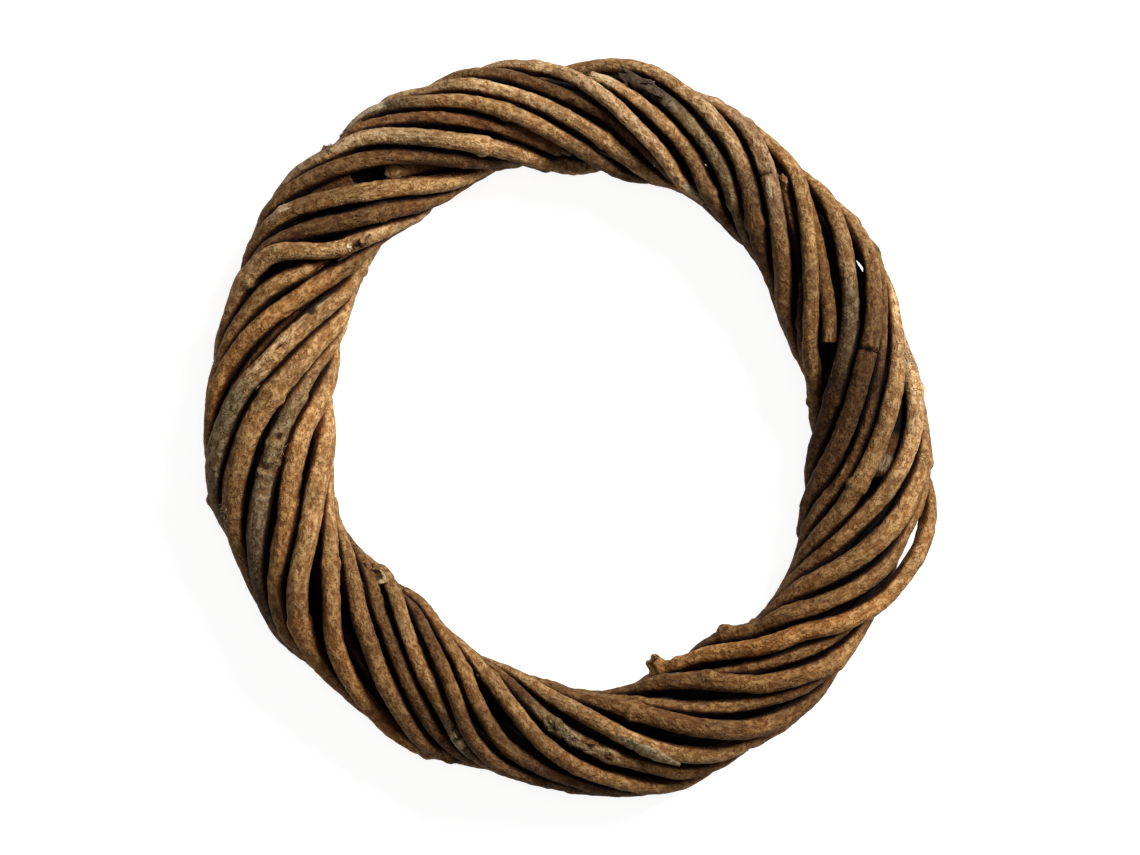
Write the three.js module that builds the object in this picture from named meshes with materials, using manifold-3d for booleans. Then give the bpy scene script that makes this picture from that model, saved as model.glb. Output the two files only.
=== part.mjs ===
// A wreath ring of woody vine canes. Eight canes wind round the outside of the bundle, four
// lie under them and one is the core, each up to two turns long, laid like the strands of a rope.
// Millimetres, +Z up. The ring lies on z = 0 with its hole along Z, and its front faces up.
// Angles are in degrees, clockwise from +Y as seen from above, and count on past 360 along a cane.
// A place round the bundle is 0 on the ring's outside, 90 on top and 180 on its inside.
import * as THREE from "three";
import { mergeVertices } from "three/addons/utils/BufferGeometryUtils.js";
import Module from "manifold-3d";

// The middle of the bundle: its distance from the ring's centre, as [angle, radius] once round.
const RING_LINE = [
  [0, 83.9], [30, 82.0], [60, 79.4], [80, 79.4], [112, 83.6], [140, 85.8], [172, 86.0],
  [200, 83.4], [221, 80.9], [245, 82.9], [282, 82.6], [310, 86.2], [340, 85.8],
];

// The edges of the ring as seen from above, as [angle, radius] once round. Loops stand out of them.
const OUTER_EDGE = [
  [0, 97.4], [5, 96.4], [15, 96.8], [22, 96.6], [30, 95.7], [42, 93.8], [50, 94.6], [60, 96.2],
  [75, 94.1], [90, 96.5], [100, 98.2], [108, 97.0], [117, 96.6], [124, 96.9], [132, 98.0],
  [142, 101.1], [150, 100.0], [165, 103.9], [180, 100.0], [194, 96.5], [205, 99.4], [218, 97.0],
  [226, 97.2], [235, 99.5], [248, 98.4], [260, 100.5], [270, 100.0], [285, 99.2], [295, 99.4],
  [310, 103.3], [318, 100.5], [327, 103.5], [337, 100.3], [345, 101.7], [356, 98.7],
];
const INNER_EDGE = [
  [0, 68.3], [10, 67.5], [25, 70.0], [35, 68.3], [48, 66.7], [65, 62.7], [80, 64.7], [95, 64.1],
  [105, 65.0], [115, 67.9], [125, 71.3], [138, 72.9], [145, 69.1], [155, 69.5], [175, 72.8],
  [190, 68.9], [205, 66.8], [220, 62.6], [230, 63.6], [240, 67.5], [250, 68.8], [262, 66.0],
  [280, 65.5], [290, 66.2], [300, 69.1], [312, 71.8], [325, 69.5], [335, 70.7], [346, 72.9],
  [355, 69.5],
];

// How far each layer lies from the middle of the bundle, and how fast the lay turns round it.
const OUTER_RADIUS = 12.9;
const INNER_RADIUS = 7.7;
const CORE_RADIUS = 2.6;
const INNER_THICK = 4.9;
const CORE_THICK = 5.2;
const LAY_TURNS = 3.5;
const SHOULDER = Math.SQRT1_2;
const LEAST_TALL = 0.9;
const MOST_TALL = 1.12;

// The canes are pressed between these two heights, and flat spots are worn under the lowest.
const FLOOR = -15.2;
const CEILING = 18.2;
const FLAT_DEPTH = 0.4;

// Where the ring's centre lies, so that the middle of its box is at the origin.
const RING_CENTRE = [0.42, 0.68];

// Canes have a station in each of these upright planes round the ring, and one at each end.
const STEP = 6;
const OUTER_SIDES = 6;
const INNER_SIDES = 5;

// How the canes settle: the gap kept between them, how far past the ring's edges they may give,
// the distance beyond which they aren't tested, and how many rounds it takes.
const CLEARANCE = 0.35;
const GIVE = 0.3;
const NEAR = 16;
const ROUNDS = 400;
const HOLD = 0.98;
const HOLD_SHARE = 0.6;

// An outer cane is told by its passes over the front of the ring, each as the angles where it
// is at place 45, 90 and 135, then its thickness and its lift. A lift stands it proud of its
// layer, or sinks it if negative. A loop is a bow between passes: its angle, height and reach.
const LIFT_REACH = 16;
const OUTER_CANES = [
  {
    name: "cane_1",
    tone: "brown",
    from: 66,
    to: 774,
    passes: [
      [104.4, 115.7, 127.3, 5.9, 0],
      [204, 214.5, 228, 4.5, -2],
      [305.6, 314.8, 326.5, 5.1, 0.5],
      [399.5, 411.3, 430.3, 4.9, 0],
      [508.5, 519.4, 532, 5.5, 0.5],
      [623.5, 637, 649, 6.1, 0.5],
      [711.5, 725, 740, 4.7, -2],
    ],
  },
  {
    name: "cane_2",
    tone: "grey",
    from: 57,
    to: 768,
    passes: [
      [95.5, 107, 122, 5.1, 0],
      [195, 205, 220, 4.7, 1],
      [300, 307.3, 316.5, 5.4, -1],
      [393.6, 404.2, 419.5, 4.5, -1.5],
      [497.6, 513.4, 528, 4.7, -2],
      [607.7, 623, 644, 5.5, -1],
      [703.3, 717.3, 734.6, 5.0, 0.3],
    ],
  },
  {
    name: "cane_3",
    tone: "tan",
    from: 321,
    to: 1035,
    passes: [
      [337.7, 351, 365, 4.8, 0],
      [439, 454, 471.8, 5.1, 1],
      [551.5, 561, 566.7, 4.4, -0.5],
      [658, 662.4, 668.5, 4.6, 1],
      [749, 760, 770.7, 5.4, 0.8],
      [851, 864, 874, 5.0, 0],
      [961, 969.4, 990, 5.4, 0],
    ],
  },
  {
    name: "cane_4",
    tone: "brown",
    from: 30,
    to: 717,
    passes: [
      [71.4, 85.2, 100, 4.4, -3],
      [188.5, 197.2, 203.5, 4.6, -1.5],
      [289.5, 297.6, 306.2, 5.2, 0],
      [384.4, 394.3, 405.4, 5.0, 0],
      [486, 497.6, 512, 4.5, -2],
      [595, 602.8, 614, 6.1, 0.5],
      [689, 701.3, 715.8, 4.4, -1.5],
    ],
    loops: [[367, 4.2, 13]],
  },
  {
    name: "cane_5",
    tone: "brown",
    from: 27,
    to: 339,
    passes: [
      [66, 79, 98.6, 5.4, 0],
      [175.8, 187.3, 197, 5.1, 0.5],
      [283, 292.4, 304, 4.8, 0],
    ],
  },
  {
    name: "cane_6",
    tone: "grey",
    from: 9,
    to: 696,
    passes: [
      [13.5, 27, 42, 4.7, -0.8],
      [121, 129, 140, 5.2, 1.5],
      [223.5, 232.8, 244.5, 5.3, 0.5],
      [321.5, 332, 346, 5.2, 1],
      [412.5, 430.8, 446, 5.7, -0.5],
      [528.6, 541.5, 553, 4.6, -2.5],
      [636.6, 647.8, 661, 4.7, -1.5],
    ],
    loops: [[109, 5.8, 11]],
  },
  {
    name: "cane_7",
    tone: "tan",
    from: 3,
    to: 432,
    passes: [
      [6, 21.4, 35.6, 4.6, 0],
      [112.7, 123.4, 133, 5.0, 0],
      [207.6, 221, 235, 5.6, 0],
      [313.3, 327.3, 339.4, 4.9, -0.5],
      [402, 416.6, 436, 4.5, -2],
    ],
  },
  {
    name: "cane_8",
    tone: "tan",
    from: 123,
    to: 390,
    passes: [
      [158, 169, 180, 4.8, 0.5],
      [272.6, 282.3, 294.4, 5.1, 0],
      [360.4, 370.3, 385.8, 4.6, 0.5],
    ],
  },
];

// The canes underneath turn at an even rate from the phase given, which is their place at angle 0.
const INNER_CANES = [
  { name: "under_cane_1", from: 324, to: 1038, phase: 39.5 },
  { name: "under_cane_2", from: 108, to: 819, phase: 84.5 },
  { name: "under_cane_3", from: 240, to: 948, phase: 309.5 },
  { name: "under_cane_4", from: 171, to: 879, phase: 354.5 },
];
const CORE_CANE = { name: "core_cane", from: 0, to: 711, phase: 20 };

// A cane swells a little at its nodes, where its leaves once grew. They are about this far
// apart, with some chance in it, and no nearer its ends than the margin.
const NODE_SPACING = 52;
const NODE_LEAST = 0.7;
const NODE_MARGIN = 14;
const NODE_SWELL = 1.12;

// Side shoots cut off short: [cane, angle, place that it points to, lean forward, thickness,
// length from the middle of its cane].
const STUBS = [
  ["cane_2", 401, 62, -12, 2.8, 5.6],
  ["cane_7", 200, 76, 20, 3.8, 5.0],
  ["cane_2", 231, 100, 10, 4.2, 5.0],
  ["cane_3", 668, 112, 30, 3.4, 4.6],
  ["cane_6", 160, 196, 30, 4.0, 6.2],
  ["cane_6", 542, 100, 20, 3.2, 4.4],
  ["cane_3", 1000, 250, 25, 3.4, 4.6],
  ["cane_8", 335, 264, 25, 3.6, 5.0],
  ["cane_1", 255, 240, 30, 3.6, 4.8],
  ["cane_7", 158, 284, 30, 3.4, 4.8],
  ["cane_6", 372, 310, 25, 3.6, 4.8],
  ["cane_4", 445, 250, -25, 3.4, 4.8],
];
const STUB_SIDES = 6;

const radians = THREE.MathUtils.degToRad;

// A smooth curve through knots [x, y]. Its slope at each is the mean over the knots beside it,
// and it runs on straight past both ends at the slope given.
function through(knots, x, endSlope) {
  const last = knots.length - 1;
  if (x <= knots[0][0]) return knots[0][1] + (x - knots[0][0]) * endSlope;
  if (x >= knots[last][0]) return knots[last][1] + (x - knots[last][0]) * endSlope;
  const i = knots.findIndex((knot) => knot[0] > x) - 1;
  const slope = (k) => {
    if (k === 0 || k === last) return endSlope;
    return (knots[k + 1][1] - knots[k - 1][1]) / (knots[k + 1][0] - knots[k - 1][0]);
  };
  const span = knots[i + 1][0] - knots[i][0];
  const t = (x - knots[i][0]) / span;
  const rise = (knots[i + 1][1] - knots[i][1]) * (3 * t * t - 2 * t * t * t);
  const lead = slope(i) * (t - 2 * t * t + t * t * t) + slope(i + 1) * (t * t * t - t * t);
  return knots[i][1] + rise + span * lead;
}

// A radius given once round the ring, read at any angle.
function roundTheRing(line) {
  const knots = [-360, 0, 360].flatMap((turn) => line.map(([a, r]) => [a + turn, r]));
  return (angle) => through(knots, angle % 360, 0);
}
const ringRadius = roundTheRing(RING_LINE);
const outerEdge = roundTheRing(OUTER_EDGE);
const innerEdge = roundTheRing(INNER_EDGE);

// A value between knots [angle, value], eased from one to the next without overshoot.
function between(knots, angle) {
  const last = knots.length - 1;
  if (angle <= knots[0][0]) return knots[0][1];
  if (angle >= knots[last][0]) return knots[last][1];
  const i = knots.findIndex((knot) => knot[0] > angle) - 1;
  const [a, b] = [knots[i], knots[i + 1]];
  return THREE.MathUtils.lerp(a[1], b[1], THREE.MathUtils.smoothstep(angle, a[0], b[0]));
}

// The angles of a cane's stations: every upright plane on its way, and both its ends.
function stationAngles(from, to) {
  const angles = [from];
  for (let a = Math.ceil((from + 1) / STEP) * STEP; a < to; a += STEP) angles.push(a);
  angles.push(to);
  return angles;
}

// The room between the middle of the bundle and its edges, for the middle of a cane of radius r.
function room(angle, r) {
  const out = outerEdge(angle) - ringRadius(angle) - r;
  const back = ringRadius(angle) - innerEdge(angle) - r;
  return [out, back];
}

// How far out a cane lies when laid. It is round over the bundle's front and back, and past the
// shoulders it is drawn out or in to the edge of the ring.
function layOut(side, far, out, back) {
  if (Math.abs(side) < SHOULDER) return far * side;
  const edge = (side > 0 ? out : back) * (far / OUTER_RADIUS);
  const beyond = (Math.abs(side) - SHOULDER) / (1 - SHOULDER);
  return Math.sign(side) * THREE.MathUtils.lerp(far * SHOULDER, edge, beyond);
}

// One cane as stations along the ring. u is out from the middle of the bundle, w is up. Where
// the bundle is narrow it is taller.
function layCane(cane, place, distance, thickness, sides, bow = () => 0) {
  const stations = stationAngles(cane.from, cane.to).map((angle) => {
    const [turn, far, r] = [radians(place(angle)), distance(angle), thickness(angle) / 2];
    const [out, back] = room(angle, r);
    const tall = THREE.MathUtils.clamp((2 * OUTER_RADIUS) / (out + back), LEAST_TALL, MOST_TALL);
    const reach = out + bow(angle);
    const u = layOut(Math.cos(turn), far, reach, back);
    const w = far * tall * Math.sin(turn);
    return { angle, u, w, u0: u, w0: w, r, reach, back, p: new THREE.Vector3() };
  });
  return { name: cane.name, tone: cane.tone ?? "dark", stations, sides };
}

function layOuter(cane) {
  const places = cane.passes.flatMap((pass, turn) =>
    [45, 90, 135].map((place, k) => [pass[k], place + 360 * turn]),
  );
  const thick = cane.passes.map((pass) => [pass[1], pass[3]]);
  const lifts = cane.passes.flatMap((pass) => [
    [pass[0] - LIFT_REACH, 0],
    [pass[1], pass[4]],
    [pass[2] + LIFT_REACH, 0],
  ]);
  const bow = (angle) =>
    (cane.loops ?? []).reduce(
      (sum, [at, height, reach]) => sum + height * Math.exp(-(((angle - at) / reach) ** 2)),
      0,
    );
  return layCane(
    cane,
    (angle) => through(places, angle, LAY_TURNS),
    (angle) => OUTER_RADIUS + between(lifts, angle),
    (angle) => between(thick, angle),
    OUTER_SIDES,
    bow,
  );
}

// A repeatable random share from 0 to 1, one stream for each seed.
function randomShares(seed) {
  let state = seed;
  return () => {
    state = (state * 1664525 + 1013904223) % 4294967296;
    return state / 4294967296;
  };
}

// The stations nearest to a cane's nodes are swollen.
function swellNodes(cane, seed) {
  const share = randomShares(seed);
  const [first, last] = [cane.stations[0].angle, cane.stations.at(-1).angle];
  for (let at = first + NODE_MARGIN + share() * NODE_SPACING; at < last - NODE_MARGIN; ) {
    const nearest = cane.stations.find((s) => s.angle >= at);
    nearest.r *= NODE_SWELL;
    at += NODE_SPACING * (NODE_LEAST + 2 * (1 - NODE_LEAST) * share());
  }
  return cane;
}

function layInner(cane, radius, thick) {
  return layCane(
    cane,
    (angle) => cane.phase + LAY_TURNS * angle,
    () => radius,
    () => thick,
    INNER_SIDES,
  );
}

const canes = [
  ...OUTER_CANES.map(layOuter),
  ...INNER_CANES.map((cane) => layInner(cane, INNER_RADIUS, INNER_THICK)),
  layInner(CORE_CANE, CORE_RADIUS, CORE_THICK),
].map((cane, i) => swellNodes(cane, 11 + i));

function worldPoint(station, target) {
  const out = ringRadius(station.angle) + station.u;
  const a = radians(station.angle);
  return target.set(out * Math.sin(a), out * Math.cos(a), station.w);
}

// Closest points of two short straight stretches, as shares s and t along each.
const d1 = new THREE.Vector3();
const d2 = new THREE.Vector3();
const gap = new THREE.Vector3();
function closest(p1, q1, p2, q2) {
  d1.subVectors(q1, p1);
  d2.subVectors(q2, p2);
  gap.subVectors(p1, p2);
  const [a, e, f, c, b] = [d1.dot(d1), d2.dot(d2), d2.dot(gap), d1.dot(gap), d1.dot(d2)];
  const denom = a * e - b * b;
  let s = denom > 1e-9 ? THREE.MathUtils.clamp((b * f - c * e) / denom, 0, 1) : 0.5;
  let t = (b * s + f) / e;
  if (t < 0 || t > 1) {
    t = THREE.MathUtils.clamp(t, 0, 1);
    s = THREE.MathUtils.clamp((b * t - c) / a, 0, 1);
  }
  return [s, t];
}

// The stretches between stations, sorted by the sector of the ring that they lie in.
const SECTORS = 360 / STEP;
const sectors = Array.from({ length: SECTORS }, () => []);
for (const cane of canes) {
  for (let k = 0; k + 1 < cane.stations.length; k++) {
    const [a, b] = [cane.stations[k], cane.stations[k + 1]];
    const middle = (a.angle + b.angle) / 2;
    sectors[Math.floor(middle / STEP) % SECTORS].push({ a, b, cane, k });
  }
}

// Two stretches that are closer than their thickness are pushed apart, across the ring's run only.
const away = new THREE.Vector3();
const across = new THREE.Vector3();
function pushApart(first, second) {
  if (first.cane === second.cane && Math.abs(first.k - second.k) < 3) return;
  if (first.a.p.distanceTo(second.a.p) > NEAR) return;
  const [s, t] = closest(first.a.p, first.b.p, second.a.p, second.b.p);
  away.lerpVectors(first.a.p, first.b.p, s);
  across.lerpVectors(second.a.p, second.b.p, t);
  away.sub(across);
  const distance = away.length();
  const r1 = THREE.MathUtils.lerp(first.a.r, first.b.r, s);
  const r2 = THREE.MathUtils.lerp(second.a.r, second.b.r, t);
  const short = r1 + r2 + CLEARANCE - distance;
  if (short <= 0) return;
  away.divideScalar(distance);
  const a = radians(first.a.angle);
  const out = away.x * Math.sin(a) + away.y * Math.cos(a);
  const up = away.z;
  const plane = Math.max(0.1, out * out + up * up);
  const push = (0.5 * short) / plane;
  for (const [station, share] of [[first.a, 1 - s], [first.b, s]]) {
    station.u += out * push * share;
    station.w += up * push * share;
  }
  for (const [station, share] of [[second.a, 1 - t], [second.b, t]]) {
    station.u -= out * push * share;
    station.w -= up * push * share;
  }
}

// What a cane has moved from where it was laid is evened out along it, so that it keeps its sweep.
function evenOut(cane, share, hold) {
  const s = cane.stations;
  const du = s.map((p) => p.u - p.u0);
  const dw = s.map((p) => p.w - p.w0);
  for (let i = 0; i < s.length; i++) {
    const [before, after] = [Math.max(0, i - 1), Math.min(s.length - 1, i + 1)];
    const u = du[i] + share * (du[before] + du[after] - 2 * du[i]);
    const w = dw[i] + share * (dw[before] + dw[after] - 2 * dw[i]);
    s[i].u = s[i].u0 + u * hold;
    s[i].w = s[i].w0 + w * hold;
  }
}

// The canes settle against each other: first drawn towards where they were laid, then eased off.
function settle() {
  for (let round = 0; round < ROUNDS; round++) {
    const share = THREE.MathUtils.mapLinear(round, 0, ROUNDS, 0.25, 0);
    const hold = round < ROUNDS * HOLD_SHARE ? HOLD : 1;
    for (const cane of canes) {
      evenOut(cane, share, hold);
      for (const s of cane.stations) {
        s.u = THREE.MathUtils.clamp(s.u, -s.back - GIVE, s.reach + GIVE);
        s.w = THREE.MathUtils.clamp(s.w, FLOOR + s.r, CEILING - s.r);
        worldPoint(s, s.p);
      }
    }
    for (const sector of sectors) {
      for (let i = 0; i < sector.length; i++) {
        for (let j = i + 1; j < sector.length; j++) {
          pushApart(sector[i], sector[j]);
        }
      }
    }
  }
}
settle();

// A cane's solid: a closed cylinder bent along its stations, each ring in the upright plane there.
function caneGeometry({ stations, sides }) {
  const rings = stations.length - 1;
  const tube = new THREE.CylinderGeometry(1, 1, 1, sides, rings);
  const place = tube.getAttribute("position");
  const centres = stations.map((s) => worldPoint(s, new THREE.Vector3()));
  const v = new THREE.Vector3();
  for (let i = 0; i < place.count; i++) {
    v.fromBufferAttribute(place, i);
    const ring = Math.round((0.5 - v.y) * rings);
    const s = stations[ring];
    const a = radians(s.angle);
    const out = new THREE.Vector3(Math.sin(a), Math.cos(a), 0);
    const along = new THREE.Vector3(Math.cos(a), -Math.sin(a), 0);
    const tangent = new THREE.Vector3()
      .subVectors(centres[Math.min(rings, ring + 1)], centres[Math.max(0, ring - 1)])
      .normalize();
    // The section is the cut of a round cane by the upright plane: a circle drawn out along its lean.
    const lean = new THREE.Vector2(tangent.dot(out), tangent.z);
    const offset = new THREE.Vector2(v.x, v.z);
    if (lean.length() > 1e-6) {
      lean.normalize();
      offset.addScaledVector(lean, offset.dot(lean) * (1 / tangent.dot(along) - 1));
    }
    const centre = centres[ring];
    const [du, dw] = [offset.x * s.r, offset.y * s.r];
    place.setXYZ(i, centre.x + out.x * du, centre.y + out.y * du, centre.z + dw);
  }
  return tube;
}

const wasm = await Module();
wasm.setup();

function solidOf(geometry) {
  geometry.deleteAttribute("normal");
  geometry.deleteAttribute("uv");
  const closed = mergeVertices(geometry, 1e-4);
  return new wasm.Manifold(
    new wasm.Mesh({
      numProp: 3,
      vertProperties: new Float32Array(closed.getAttribute("position").array),
      triVerts: new Uint32Array(closed.index.array),
    }),
  );
}

function geometryOf(solid) {
  const mesh = solid.getMesh();
  return new THREE.BufferGeometry()
    .setAttribute("position", new THREE.BufferAttribute(mesh.vertProperties, 3))
    .setIndex(new THREE.BufferAttribute(mesh.triVerts, 1));
}

// A stub is a short tapered peg from the middle of its cane, cut square.
const STUB_TAPER = 0.84;
function stubSolid(cane, [, angle, place, lean, thick, length]) {
  const i = cane.stations.findIndex((s) => s.angle > angle) - 1;
  const [before, after] = [cane.stations[i], cane.stations[i + 1]];
  const share = (angle - before.angle) / (after.angle - before.angle);
  const root = worldPoint(before, new THREE.Vector3());
  root.lerp(worldPoint(after, new THREE.Vector3()), share);
  const [a, up, ahead] = [radians(angle), radians(place), radians(lean)];
  const out = new THREE.Vector3(Math.sin(a), Math.cos(a), 0);
  const along = new THREE.Vector3(Math.cos(a), -Math.sin(a), 0);
  const direction = out
    .multiplyScalar(Math.cos(up) * Math.cos(ahead))
    .addScaledVector(along, Math.sin(ahead));
  direction.z += Math.sin(up) * Math.cos(ahead);
  const r = thick / 2;
  const peg = new THREE.CylinderGeometry(STUB_TAPER * r, r, length, STUB_SIDES);
  peg.translate(0, length / 2, 0);
  const turn = new THREE.Quaternion().setFromUnitVectors(new THREE.Vector3(0, 1, 0), direction);
  peg.applyQuaternion(turn);
  peg.translate(root.x, root.y, root.z);
  return solidOf(peg);
}

// What lies below the flat spots is worn away.
function wornAway() {
  const [wide, deep] = [300, 10];
  const block = new THREE.BoxGeometry(wide, wide, deep);
  block.translate(0, 0, FLOOR + FLAT_DEPTH - deep / 2);
  return solidOf(block);
}

// The bark's tones. The canes within the bundle are the dark ones.
const TONES = { tan: 0xa6824f, brown: 0x96703f, grey: 0x87704c, dark: 0x6d4f31 };
const BARKS = Object.fromEntries(
  Object.entries(TONES).map(([tone, color]) => [
    tone,
    new THREE.MeshStandardMaterial({ name: `bark_${tone}`, color, roughness: 0.85, metalness: 0 }),
  ]),
);

function caneMesh(cane) {
  let solid = solidOf(caneGeometry(cane));
  for (const stub of STUBS.filter(([name]) => name === cane.name)) {
    solid = solid.add(stubSolid(cane, stub));
  }
  const mesh = new THREE.Mesh(geometryOf(solid.subtract(wornAway())), BARKS[cane.tone]);
  mesh.name = cane.name;
  return mesh;
}

const wreath = new THREE.Group();
for (const cane of canes) wreath.add(caneMesh(cane));
wreath.position.set(RING_CENTRE[0], RING_CENTRE[1], -FLOOR - FLAT_DEPTH);

export default wreath;
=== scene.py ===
"""The looks of a wreath ring of woody vine canes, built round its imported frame. Metres, +Z up.

Each cane's middle line and thickness are read from the sections of its solid. A finer cane with
nodes, furrows, cut ends and stubs is built on them and takes the solid's place. Angles are in
degrees, clockwise from +Y as seen from above, and count on past 360 along a cane. A place round
the bundle, or round a cane, is 0 on the ring's outside, 90 on top and 180 on its inside. Lengths
are in millimetres about the ring's centre until the meshes are built.
"""

from math import atan2, ceil, cos, exp, pi, radians, sin

import bpy
import numpy as np
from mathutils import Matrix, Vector
from mathutils.kdtree import KDTree
from numpy.linalg import norm


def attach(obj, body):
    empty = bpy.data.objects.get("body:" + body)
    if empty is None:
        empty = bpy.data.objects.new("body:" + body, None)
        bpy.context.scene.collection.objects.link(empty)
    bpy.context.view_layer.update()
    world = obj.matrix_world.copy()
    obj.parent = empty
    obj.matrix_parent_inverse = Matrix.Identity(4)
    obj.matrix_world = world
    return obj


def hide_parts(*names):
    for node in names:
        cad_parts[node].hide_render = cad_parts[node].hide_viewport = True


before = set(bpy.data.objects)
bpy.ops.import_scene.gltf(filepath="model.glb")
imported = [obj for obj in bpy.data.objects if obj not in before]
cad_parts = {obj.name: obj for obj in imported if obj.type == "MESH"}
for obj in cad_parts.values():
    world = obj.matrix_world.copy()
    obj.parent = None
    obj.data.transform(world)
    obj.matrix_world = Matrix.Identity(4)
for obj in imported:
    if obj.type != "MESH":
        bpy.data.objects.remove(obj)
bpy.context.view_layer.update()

MM = 0.001
RING_CENTRE = np.array([0.42, 0.68, 0.0])
BUNDLE_MIDDLE = 15.0

# The solids have a section in each upright plane this far apart, and one at each end.
STEP = 6
END_STEP = 3
# How far a corner may be from its plane, in degrees, and how near each other the lines between
# opposite corners cross. A section has at least this many corners.
ON_PLANE = 0.03
CROSSING = 0.02
FEWEST_CORNERS = 4
# What is no higher than this lies on the floor, and the fine canes go no lower.
ON_FLOOR = 0.05
# Where a solid is this much thicker than beside it, the cane has a knuckle.
KNUCKLE_SWELL = 1.05

# Each cane's slot, and its bark's tone at angles from where it starts to where it ends.
# The tones are partly the bark's own colour and partly painted light and shade, matched to how light each
# stretch looks. The deep tone is painted shadow, and the under canes and the core are darkened with painted
# shade where they lie under the others.
CANES = {
    "cane_1": ("bark_brown", {
        66: "brown", 94: "tan", 112: "brown", 127: "umber", 210: "dark", 232: "umber", 307: "brown",
        330: "tan", 397: "tan", 427: "brown", 502: "umber", 547: "umber", 622: "brown", 645: "tan",
        697: "tan", 712: "dark", 774: "dark",
    }),
    "cane_2": ("bark_grey", {
        57: "brown", 86: "bright", 98: "tan", 114: "umber", 192: "umber", 197: "grey", 202: "pink",
        207: "brown", 232: "tan", 307: "dark", 325: "umber", 345: "brown", 397: "tan", 425: "dark",
        502: "umber", 517: "brown", 535: "umber", 607: "grey", 617: "grey", 622: "olive", 627: "olive",
        630: "grey", 645: "tan", 705: "bright", 727: "tan", 768: "brown",
    }),
    "cane_3": ("bark_tan", {
        321: "grey", 330: "grey", 337: "tan", 352: "tan", 367: "dark", 400: "brown", 430: "bright",
        445: "tan", 465: "brown", 547: "dark", 562: "umber", 580: "dark", 650: "tan", 668: "tan",
        684: "bright", 742: "bright", 757: "pink", 772: "brown", 847: "brown", 862: "umber", 880: "umber",
        952: "brown", 970: "orange", 997: "tan", 1035: "tan",
    }),
    "cane_4": ("bark_brown", {
        30: "brown", 65: "brown", 82: "deep", 100: "umber", 187: "dark", 205: "brown", 292: "brown",
        307: "tan", 370: "tan", 383: "bright", 399: "dark", 415: "umber", 502: "umber", 590: "orange",
        607: "tan", 632: "tan", 680: "brown", 700: "red", 717: "brown",
    }),
    "cane_5": ("bark_brown", {
        27: "brown", 52: "tan", 67: "umber", 82: "dark", 165: "brown", 187: "brown", 202: "tan",
        262: "brown", 275: "orange", 292: "orange", 304: "brown", 339: "umber",
    }),
    "cane_6": ("bark_grey", {
        9: "ash", 15: "ash", 22: "olive", 40: "olive", 97: "orange", 112: "tan", 127: "orange",
        217: "orange", 250: "tan", 322: "bright", 352: "tan", 380: "brown", 412: "tan", 427: "grey",
        442: "deep", 460: "dark", 517: "umber", 530: "umber", 535: "olive", 544: "olive", 551: "dark",
        565: "brown", 696: "brown",
    }),
    "cane_7": ("bark_tan", {
        3: "bright", 18: "tan", 37: "dark", 97: "brown", 112: "brown", 130: "umber", 190: "dark",
        198: "brown", 203: "umber", 217: "brown", 232: "brown", 247: "tan", 307: "brown", 322: "umber",
        337: "dark", 360: "umber", 390: "umber", 402: "brown", 432: "brown",
    }),
    "cane_8": ("bark_tan", {
        123: "brown", 157: "brown", 172: "tan", 190: "tan", 262: "grey", 276: "olive", 283: "tan",
        307: "tan", 352: "bright", 370: "bright", 390: "tan",
    }),
    "under_cane_1": ("bark_dark", {
        324: "tan", 328: "brown", 335: "dark", 1024: "dark", 1031: "brown", 1038: "brown",
    }),
    "under_cane_2": ("bark_dark", {108: "umber", 120: "dark", 800: "dark", 819: "umber"}),
    "under_cane_3": ("bark_dark", {240: "dark", 948: "dark"}),
    "under_cane_4": ("bark_dark", {171: "dark", 879: "dark"}),
    "core_cane": ("bark_dark", {0: "dark", 711: "dark"}),
}
# The deep tone is painted shadow, not a colour of the bark.
TONES = {
    "bright": (0.315, 0.192, 0.086), "tan": (0.250, 0.139, 0.051), "brown": (0.168, 0.086, 0.028),
    "orange": (0.220, 0.104, 0.030), "umber": (0.120, 0.058, 0.018), "dark": (0.076, 0.035, 0.011),
    "deep": (0.040, 0.017, 0.005), "grey": (0.110, 0.073, 0.036), "olive": (0.140, 0.092, 0.040),
    "pink": (0.168, 0.097, 0.048), "red": (0.135, 0.056, 0.019), "ash": (0.062, 0.046, 0.028),
    "fuzz": (0.400, 0.320, 0.225), "leaf": (0.215, 0.160, 0.080), "cream": (0.440, 0.340, 0.200),
}
BRIGHT = np.array(TONES["bright"])

# Side shoots cut off short, on each cane: seed of the random draws, angle, place pointed to, lean
# forward, thickness, length, tear, share of pale wood.
STUBS = {
    "cane_1": [(58, 255, 240, 30, 3, 4.8, 0, 0.5)],
    "cane_2": [(50, 401, 62, -12, 2.6, 4.9, 0.5, 0.3), (52, 231.5, 86, 10, 4.4, 5.3, 0, 1)],
    "cane_3": [(53, 671.2, 135, 30, 2.8, 2.9, 0.6, 0.1), (56, 1000, 250, 25, 2.8, 4.6, 0, 0.5)],
    "cane_4": [(61, 445, 250, -25, 2.8, 4.8, 0, 0.5)],
    "cane_6": [
        (54, 160, 168, 20, 3.8, 4.9, 1.3, 1), (55, 543.5, 92, 20, 3.8, 3.6, 1.2, 0.6),
        (60, 372, 310, 25, 3, 4.8, 0, 0.5),
    ],
    "cane_7": [(51, 200, 108, 10, 5, 4.4, 0.9, 0.6), (59, 158, 284, 30, 2.8, 4.8, 0, 0.5)],
    "cane_8": [(57, 335, 264, 25, 3, 5, 0, 0.5)],
}
STUB_TAPER = 0.84
STUB_SIDES = 28
# A stub is this much wider along its cane than across it.
STUB_OVAL = 1.45
STUB_STEP = 0.35
STUB_FLARE, STUB_FLARE_HALF = 0.5, 0.9
STUB_RIDGES, RIDGE_HEIGHT, STUB_RELIEF = 7, 0.08, 0.22
STUB_TONE = 0.8

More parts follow.
